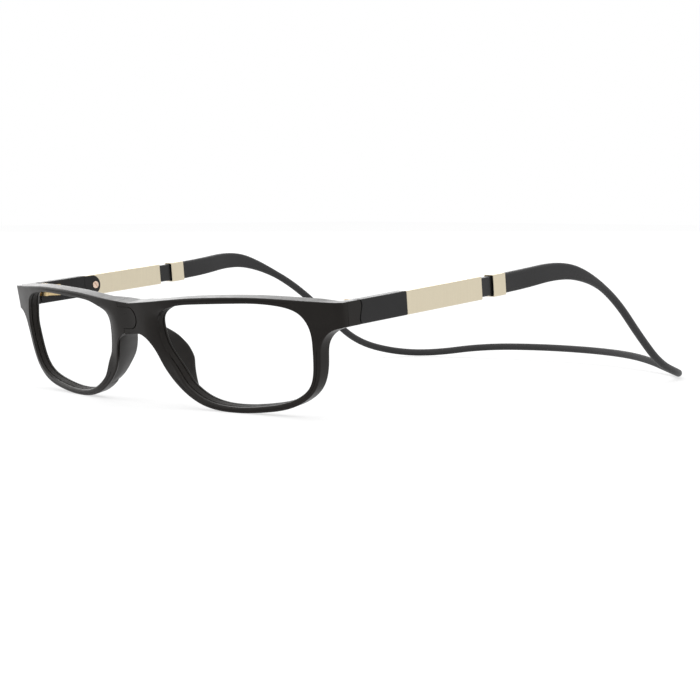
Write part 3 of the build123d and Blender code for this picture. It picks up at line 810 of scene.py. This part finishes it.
pad = {
    "root": 0.6,            # depth behind the rim's face at which it leaves the rim
    "sunk": 0.08,           # its nose face stands back from the rim's front edge
    "rootThickness": 2.2,
    "tipThickness": 1.6,
    "bulge": 0.3,           # towards the nose, at half its reach
    "lowInset": 0.75,       # how far inside the rim's edge the root's middle is, at its low end
    "insetShares": (0, 1 / 3),
    "lowShare": 0.55,       # it is thinner at its low end
    "thinV": (2, 7),
    "rows": 90,
    "topPoint": (4.3, 22.2),
    "rear": [(1.3, 25.0, 2.5), (2.6, 21.6, 3.4), (4.0, 18.6, 4.3), (5.5, 16.6, 5.2), (7.0, 15.2, 6.1),
             (8.5, 14.2, 6.9), (10.0, 13.4, 7.7), (11.5, 12.7, 8.4), (13.0, 11.9, 8.6), (14.5, 11.1, 8.5),
             (16.0, 10.1, 8.1), (17.5, 9.0, 7.5), (19.0, 7.5, 6.5), (20.5, 5.8, 5.2), (22.0, 4.2, 3.8)],
}


def nosePad():
    # a flange between its root along the rim's nose side and its rear line (height, x, depth), with a half-round edge
    arch = [(x * front["bridgeHalf"], bridgeLowV - v * front["bridgeHeight"]) for x, v in front["archShares"][:1]]
    outer = throughPoints([*rimEdge[2::-1], *arch, pad["topPoint"]])
    along = np.gradient(outer, axis=0)
    along /= np.linalg.norm(along, axis=1)[:, None]
    rear = spread(throughPoints(pad["rear"]), pad["rows"])
    share = np.linspace(0, 1, len(outer))[:, None]
    inside = pad["rootThickness"] / 2 + pad["sunk"]
    inside = pad["lowInset"] + (inside - pad["lowInset"]) * fade(share, pad["insetShares"])
    middle = outer + np.stack([along[:, 1], -along[:, 0]], axis=1) * inside
    order = np.argsort(middle[:, 1])
    rootX = np.interp(rear[:, 0], middle[order, 1], middle[order, 0])
    root = np.stack([rootX, rear[:, 0], pad["root"] + faceWrap(rootX, rear[:, 0])], axis=1)
    tip = rear[:, [1, 0, 2]]
    thin = pad["lowShare"] + (1 - pad["lowShare"]) * fade(rear[:, :1], pad["thinV"])
    tipHalf = pad["tipThickness"] / 2 * thin
    reach = np.linalg.norm(tip - root, axis=1)[:, None]
    outward = (tip - root) / reach
    share = np.array([0, 0.08, 0.18, 0.3, 0.42, 0.54, 0.66, 0.78, 0.88, 0.95, 1.0])[None, :, None]
    sheet = root[:, None] + outward[:, None] * (reach[:, None] * share)
    sheet[..., 0] -= pad["bulge"] * np.sin(pi * share[..., 0])
    down, over = np.gradient(sheet, axis=0), np.gradient(sheet, axis=1)
    facing = np.cross(down, over)
    facing /= np.linalg.norm(facing, axis=2)[..., None]
    rootHalf = (pad["rootThickness"] / 2 * thin)[:, None]
    half = rootHalf + (tipHalf[:, None] - rootHalf) * smooth(share)
    turn = np.linspace(pi / 2, -pi / 2, 13)[None, :, None]
    ahead = over[:, -1:] / np.linalg.norm(over[:, -1:], axis=2)[..., None]
    cap = sheet[:, -1:] + (ahead * np.cos(turn) + facing[:, -1:] * np.sin(turn)) * tipHalf[:, None]
    place = np.hstack([sheet + facing * half, cap[:, 1:-1], (sheet - facing * half)[:, ::-1]])
    return skin("pad", datum + acrossX * place[..., :1] + frontUp * place[..., 1:2] + frontBack * place[..., 2:])


def arm():
    # the endpiece's short arm, from behind its front corner to the waved hinge seam
    proud, reach = temple["armProud"], temple["edgeRadius"]
    size = (temple["thickness"] / 2 + proud, templeHalf + proud)
    start, eased = temple["armStart"], temple["armEdge"]
    first = [(start, size[0] - 2 * eased, size[1] - 2 * eased, reach, 0, 1), (start, *size, reach, 0, 1),
             (start + eased, *size, reach, 0, 1)]
    last = endRows(temple["seamT"], -1, size, reach, temple["endRadius"], temple["seamWave"])
    return bar("arm", first, last)


leftShapes = [rimBlank(), nosePad(), arm()]
rightShapes = [twin(shape, shape.name + "Twin") for shape in leftShapes]
for side, (blank, *others) in (("left", leftShapes), ("right", rightShapes)):
    half = cutBy(blank, seamCutter(side), side + "Half")
    finished(joined("front_" + side, [half, *others]), frontPlastic, side + "_front", "rim_" + side)
print("front halves made")

lens = {
    "front": 1.0,
    "thickness": 1.9,
    "reach": 0.12,          # into the rim
    "edging": 0.08,
    "steps": (0.05, 0.2, 0.4, 0.6, 0.8, 0.94, 0.985, 0.997),
}


def lensShape():
    # the opening's outline, shrunk in steps towards its middle on both faces
    line = openingLine[:-1:2]
    centre = line.mean(0)
    away = (line - centre) / np.linalg.norm(line - centre, axis=1)[:, None]
    edge = line + away * lens["reach"]
    thick, edging = lens["thickness"], lens["edging"]
    rows = [(step, 0) for step in lens["steps"]] + [(1, w) for w in (edging, thick / 2, thick - edging)]
    rows += [(step, thick) for step in lens["steps"][::-1]]
    rows = np.array(rows)
    grid = centre + (edge - centre) * rows[:, :1, None]
    w = lens["front"] + rows[:, 1:] * np.ones(grid.shape[:2])
    return skin("lens_left_clear", frontPoint(grid[..., 0], grid[..., 1], w))


leftLens = lensShape()
rightLens = twin(leftLens, "lens_right_clear")
for side, piece in (("left", leftLens), ("right", rightLens)):
    finished(piece, lensGlass, side + "_front", "lens_" + side)
print("lenses made")

# Temple fronts, sleeves, strips and ferrules
sleeve = {
    "halfHeight": 3.1,
    "edgeRadius": 0.28,
    "endRadius": 0.2,
    "gap": 0.05,
    "cavity": (1.06, 2.68, 0.3),    # half width, half height, corner
    "cavityDepth": 6.0,
}
strip = {
    "start": 45.6,
    "end": 66.6,
    "half": (0.95, 2.6),
    "edgeRadius": 0.4,
    "endRadius": 0.2,
    "plug": (1.4, 2.75),    # half sizes of the plug in the ferrule
    "plugStart": 64.75,
    "plugEnd": 65.8,
    "plugRadius": 0.1,
}
ferrule = {
    "start": 64.4,
    "end": 69.4,
    "half": (1.65, 3.0),
    "bow": 0.22,
    "bowMargin": 0.5,
    "edgeRadius": 0.35,
    "endRadius": 0.12,
    "frontSocket": (1.42, 2.77, 0.4),
    "frontDepth": 1.3,
    "backSocket": (1.3, 2.79, 0.6),
    "backDepth": 1.4,
}


def lapShape():
    # the round-ended lap on the sleeve's inner side: its outline shrinks at the rounded rim
    half = temple["lapHalf"]
    turn = np.linspace(pi / 2, -pi / 2, 33)
    centreT = temple["lapEnd"] - half
    start = temple["sleeveStart"] - temple["lapTuck"]
    outline = np.vstack([np.stack([centreT + half * np.cos(turn), half * np.sin(turn)], 1),
                         np.stack([np.linspace(centreT, start, 9)[1:], np.full(8, -half)], 1),
                         np.stack([np.full(7, start), np.linspace(-half, half, 9)[1:-1]], 1),
                         np.stack([np.linspace(start, centreT, 9)[:-1], np.full(8, half)], 1)])
    centre = np.array([centreT - 1, 0])
    rows = np.array(temple["lapFace"] + [(1.0, temple["lapThickness"])])
    grid = centre + (outline - centre) * rows[:, :1, None]
    x = innerX - temple["lapProud"] + rows[:, 1:] * np.ones(grid.shape[:2])
    return skin("lap", templePoint(x, grid[..., 0], grid[..., 1]))


def templeFront():
    # a bar from the hinge seam's wave to the sleeve, and the lap
    start = temple["seamT"] + temple["seamGap"]
    size = (temple["thickness"] / 2, templeHalf)
    body = bar("templeBody", endRows(start, 1, size, temple["edgeRadius"], temple["endRadius"], temple["seamWave"]),
               endRows(temple["sleeveStart"], -1, size, temple["edgeRadius"], temple["stepRadius"]))
    return joined("templeFront", [body, lapShape()])


def sleeveShape():
    # a bar with a socket at its rear end
    size = (temple["thickness"] / 2, sleeve["halfHeight"])
    first = endRows(temple["sleeveStart"] + sleeve["gap"], 1, size, sleeve["edgeRadius"], sleeve["endRadius"])
    last = endRows(temple["sleeveEnd"], -1, size, sleeve["edgeRadius"], sleeve["endRadius"], 0, sleeve["cavity"],
                   sleeve["cavityDepth"])
    return bar("sleeve", first, last)


def stripShape():
    # a thin bar, and a wider one that fills the ferrule's front socket
    spans = [(strip["start"], strip["end"], strip["half"], strip["endRadius"]),
             (strip["plugStart"], strip["plugEnd"], strip["plug"], strip["plugRadius"])]
    return joined("strip", [bar("stripBar", endRows(start, 1, half, strip["edgeRadius"], radius),
                                endRows(end, -1, half, strip["edgeRadius"], radius))
                            for start, end, half, radius in spans])


def ferruleShape():
    # a bar with swelling sides and a socket at each end
    first = endRows(ferrule["start"], 1, ferrule["half"], ferrule["edgeRadius"], ferrule["endRadius"], 0,
                    ferrule["frontSocket"], ferrule["frontDepth"])
    last = endRows(ferrule["end"], -1, ferrule["half"], ferrule["edgeRadius"], ferrule["endRadius"], 0,
                   ferrule["backSocket"], ferrule["backDepth"])
    margin = ferrule["bowMargin"]
    middle = [(t, *ferrule["half"], ferrule["edgeRadius"], 0, 1)
              for t in np.linspace(ferrule["start"] + margin, ferrule["end"] - margin, 11)]
    return bar("ferrule", first, last, middle, bow=ferrule["bow"])


lapScrew = {
    "t": 33.8,
    "radius": 1.12,
    "height": 0.35,
    "slot": 0.3,
    "slotDepth": 0.18,
    "slotHalf": 2.0,
    "slotCorner": 0.02,
    "slotOver": 1,
    "slotTurn": 35,         # degrees
    "dome": [(0.3, 1.0), (0.7, 0.97), (0.86, 0.88), (0.94, 0.72), (0.985, 0.45), (1.0, 0.2), (1.0, -0.6)],
}


def screwShape():
    # a low domed disc standing on the lap, then the slot is cut across it
    turn = np.linspace(0, 2 * pi, 40, endpoint=False)
    face = innerX - temple["lapProud"]
    dome = np.array(lapScrew["dome"])
    radius = dome[:, :1] * lapScrew["radius"]
    x = face - dome[:, 1:] * lapScrew["height"] * np.ones((1, len(turn)))
    head = skin("head", templePoint(x, lapScrew["t"] + radius * np.cos(turn), radius * np.sin(turn)))
    top = face - lapScrew["height"]
    corners = roundedRects([lapScrew["slot"] / 2] * 2, [lapScrew["slotHalf"]] * 2, [lapScrew["slotCorner"]] * 2,
                           arc=2, sides=(0.5,))
    depthX = top + np.array([[-lapScrew["slotOver"]], [lapScrew["slotDepth"]]]) * np.ones(corners.shape[:2])
    lean = radians(lapScrew["slotTurn"])
    slotT = lapScrew["t"] + corners[..., 0] * cos(lean) - corners[..., 1] * sin(lean)
    slotV = corners[..., 0] * sin(lean) + corners[..., 1] * cos(lean)
    return cutBy(head, skin("slot", templePoint(depthX, slotT, slotV)), "screw")


parts = {
    "temple_front": (templeFront(), templePlastic, "temple", "temple_plastic"),
    "sleeve": (sleeveShape(), sleeveMetal, "temple", "sleeve_metal"),
    "sleeve_screw": (screwShape(), screwMetal, "temple", "screw_metal"),
    "strip": (stripShape(), stripPlastic, "arm", "strip_plastic"),
    "ferrule": (ferruleShape(), sleeveMetal, "arm", "sleeve_metal"),
}
for node, (shape, material, body, slot) in parts.items():
    other = twin(shape, node + "_right_finish")
    shape.name = node + "_left_finish"
    for side, piece in (("left", shape), ("right", other)):
        finished(piece, material, side + "_" + body, node + "_" + side)
print("temples made")

# Hinges and magnets keep their solids and take their finishes
for side in ("left", "right"):
    for node, material in (("front_leaf_", hingeMetal), ("temple_leaf_", hingeMetal), ("hinge_screw_", hingeMetal),
                           ("magnet_", magnetMetal)):
        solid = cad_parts[node + side]
        solid.data.materials.clear()
        solid.data.materials.append(material)
print("hinges finished")

strap = {
    "seat": 67.3,
    "firstRun": 9.0,
    "route": [(69.3, 92.5, 36.2), (69.8, 105.5, 33.4), (68.0, 119.6, 26.5), (65.8, 134.7, 14.5),
              (64.6, 146.4, 5.9), (61.5, 161.0, 1.9), (52.5, 171.3, 1.2), (34.3, 179.2, 4.2), (13.0, 186.3, 4.7)],
    "height": 5.4,
    "thickness": 2.4,
    "round": 2.3,
    "taper": 46.5,
    "taperShares": [(0, 1), (0.2, 0.995), (0.28, 0.97), (0.36, 0.93), (0.45, 0.88), (0.54, 0.81), (0.62, 0.69),
                    (0.7, 0.53), (0.78, 0.355), (0.86, 0.19), (0.93, 0.08), (1, 0)],
    "flatCorner": 0.75,
    "length": 0.3448,       # metres, along its middle
    "width": 0.0026,        # metres, over its round stretch
    "ringStep": 0.9,
}


def strapRoute():
    # from the left ferrule down to the table and round behind to the other
    first = [templeDatum + acrossX * middleX + templeBack * t
             for t in (strap["seat"], strap["seat"] + strap["firstRun"])]
    left = first + [datum + np.array(point) for point in strap["route"]]
    return np.array(left + [point * (-1, 1, 1) for point in left[::-1]]) * mm


def strapLine():
    # the smooth spline that takes the route's points as its control points
    curve = bpy.data.curves.new("strapRoute", "CURVE")
    curve.dimensions = "3D"
    line = curve.splines.new("NURBS")
    route = strapRoute()
    line.points.add(len(route) - 1)
    line.points.foreach_set("co", np.hstack([route, np.ones((len(route), 1))]).ravel())
    line.order_u = 3
    line.use_endpoint_u = True
    line.resolution_u = 24
    guide = placed("strapRoute", curve)
    mesh = bpy.data.meshes.new_from_object(guide.evaluated_get(bpy.context.evaluated_depsgraph_get()))
    points = np.zeros(len(mesh.vertices) * 3, np.float32)
    mesh.vertices.foreach_get("co", points)
    bpy.data.objects.remove(guide)
    return points.reshape(-1, 3).astype(float)


def strapShape(line):
    # sections go from a tall rounded rectangle to a circle along each end's taper
    length = np.linalg.norm(np.diff(line, axis=0), axis=1).sum()
    path = spread(line / mm, int(length / mm / strap["ringStep"]))
    along = np.linspace(0, length / mm, len(path))
    fromEnd = np.minimum(along, along[-1] - along)
    shares = np.array(strap["taperShares"])
    flat = np.interp(fromEnd / strap["taper"], shares[:, 0], shares[:, 1])
    tangent = np.gradient(path, axis=0)
    tangent /= np.linalg.norm(tangent, axis=1)[:, None]
    side = np.cross([0, 0, 1.0], tangent)
    side /= np.linalg.norm(side, axis=1)[:, None]
    up = np.cross(tangent, side)
    half = strap["round"] / 2
    halfX = half + (strap["thickness"] / 2 - half) * flat
    halfV = half + (strap["height"] / 2 - half) * flat
    corner = half + (strap["flatCorner"] - half) * smooth(flat)
    ring = roundedRects(halfX, halfV, corner, arc=9, sides=(0.06, 0.5, 0.94))
    grid = path[:, None] + side[:, None] * ring[..., :1] + up[:, None] * ring[..., 1:]
    return skin("strap_band", grid), path * mm


strapPiece, strapPath = strapShape(strapLine())
strapPiece.data.materials.append(strapRubber)
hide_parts("strap")
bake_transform(strapPiece)
print("strap made")

studio = {
    "floorHalf": 3.0,       # metres, as for the lamps
    "floorTone": 0.45,
    "floorGlow": 0.63,
    "frontGlow": 0.15,      # the share of the glow that reflections see in front of the glasses
    "glowFrom": -0.2,       # between these two places along Y it grows to all of it
    "glowFull": -0.06,
    "worldGlow": 0.78,
    "lamps": {              # place, aim, size and power
        "topSoft": ((0, 0, 1.3), (0, 0, 0), 1.4, 3.5),
        "behindLeft": ((-1.76, 1.54, 0.9), (0, 0, 0.02), 1.5, 12.0),
        "frontLeft": ((-1.5, -1.6, 0.5), (0, -0.08, 0.02), 1.6, 9.0),
        "left": ((-2.2, -0.3, 0.6), (0, -0.08, 0.02), 1.2, 6.0),
    },
}


def studioFloor():
    # a pale sheet whose glow is seen by the camera, and less in reflections further in front, so that it is white
    # and still takes a soft shadow
    half = studio["floorHalf"]
    mesh = bpy.data.meshes.new("floor")
    mesh.from_pydata([(-half, -half, 0), (half, -half, 0), (half, half, 0), (-half, half, 0)], [], [(0, 1, 2, 3)])
    floor = placed("floor", mesh)
    finish = Finish(bpy.data.materials.new("floor_paper"))
    tone = studio["floorTone"]
    camera = finish.node("ShaderNodeLightPath", output="Is Camera Ray")
    glossy = finish.node("ShaderNodeLightPath", output="Is Glossy Ray")
    across = finish.node("ShaderNodeSeparateXYZ", None, {"Vector": finish.place()}, output=1)
    share = finish.ranged(across, studio["glowFrom"], studio["glowFull"], studio["frontGlow"], 1.0)
    seen = finish.combine("MAXIMUM", camera, glossy * share)
    speck = finish.noise(finish.place(), 500.0, 2.0)
    base = finish.blendColours(speck, (tone * 0.995, tone * 0.995, tone, 1), (tone, tone, tone, 1))
    paper = finish.node("ShaderNodeBsdfPrincipled", None,
                        {"Base Color": base, "Roughness": 0.9, "Specular IOR Level": 0.0})
    glow = finish.node("ShaderNodeEmission", None, {"Color": (1, 1, 1, 1), "Strength": studio["floorGlow"]})
    both = finish.node("ShaderNodeAddShader", None, {0: paper, 1: glow})
    floor.data.materials.append(finish.close(finish.node("ShaderNodeMixShader", None,
                                                         {0: seen, 1: paper, 2: both})))


def studioWorld():
    # white to the camera and in reflections, softer as a light
    sky = Finish(bpy.data.worlds.new("studio"))
    camera, glossy, through = (sky.node("ShaderNodeLightPath", output="Is " + kind + " Ray")
                               for kind in ("Camera", "Glossy", "Transmission"))
    seen = sky.combine("MAXIMUM", sky.combine("MAXIMUM", camera, glossy), through)
    soft, white = (sky.node("ShaderNodeBackground", None, {"Color": (1, 1, 1, 1), "Strength": glow})
                   for glow in (studio["worldGlow"], 1.0))
    mix = sky.node("ShaderNodeMixShader", None, {0: seen, 1: soft, 2: white})
    bpy.context.scene.world = sky.close(mix, "World")


def lamp(name, place, aim, size, power):
    # a square lamp, turned by the two angles that its line to the aim makes with the floor and with X
    light = bpy.data.lights.new(name, "AREA")
    light.shape = "SQUARE"
    light.size = size
    light.energy = power
    shining = placed(name, light)
    direction = np.array(aim, float) - np.array(place, float)
    flat = np.hypot(direction[0], direction[1])
    shining.location = place
    if flat > 0:
        shining.rotation_euler = (pi / 2 - np.arctan2(-direction[2], flat), 0,
                                  np.arctan2(direction[1], direction[0]) - pi / 2)


studioFloor()
studioWorld()
for name, (place, aim, size, power) in studio["lamps"].items():
    lamp(name, place, aim, size, power)

view = {
    "place": (407.4, stance["bridgeY"] - 326.89, 55.63),
    "azimuth": 45.141,
    "elevation": 4.5,
    "focal": 98.65,
    "sensor": 36.0,
}
eye = bpy.data.cameras.new("camera")
eye.lens = view["focal"]
eye.sensor_width = view["sensor"]
eye.clip_start = 0.01
camera = placed("camera", eye)
camera.location = [part * mm for part in view["place"]]
camera.rotation_euler = (radians(90 - view["elevation"]), 0, radians(view["azimuth"]))
bpy.context.scene.camera = camera
bpy.context.scene.view_settings.view_transform = "Standard"
print("studio set")
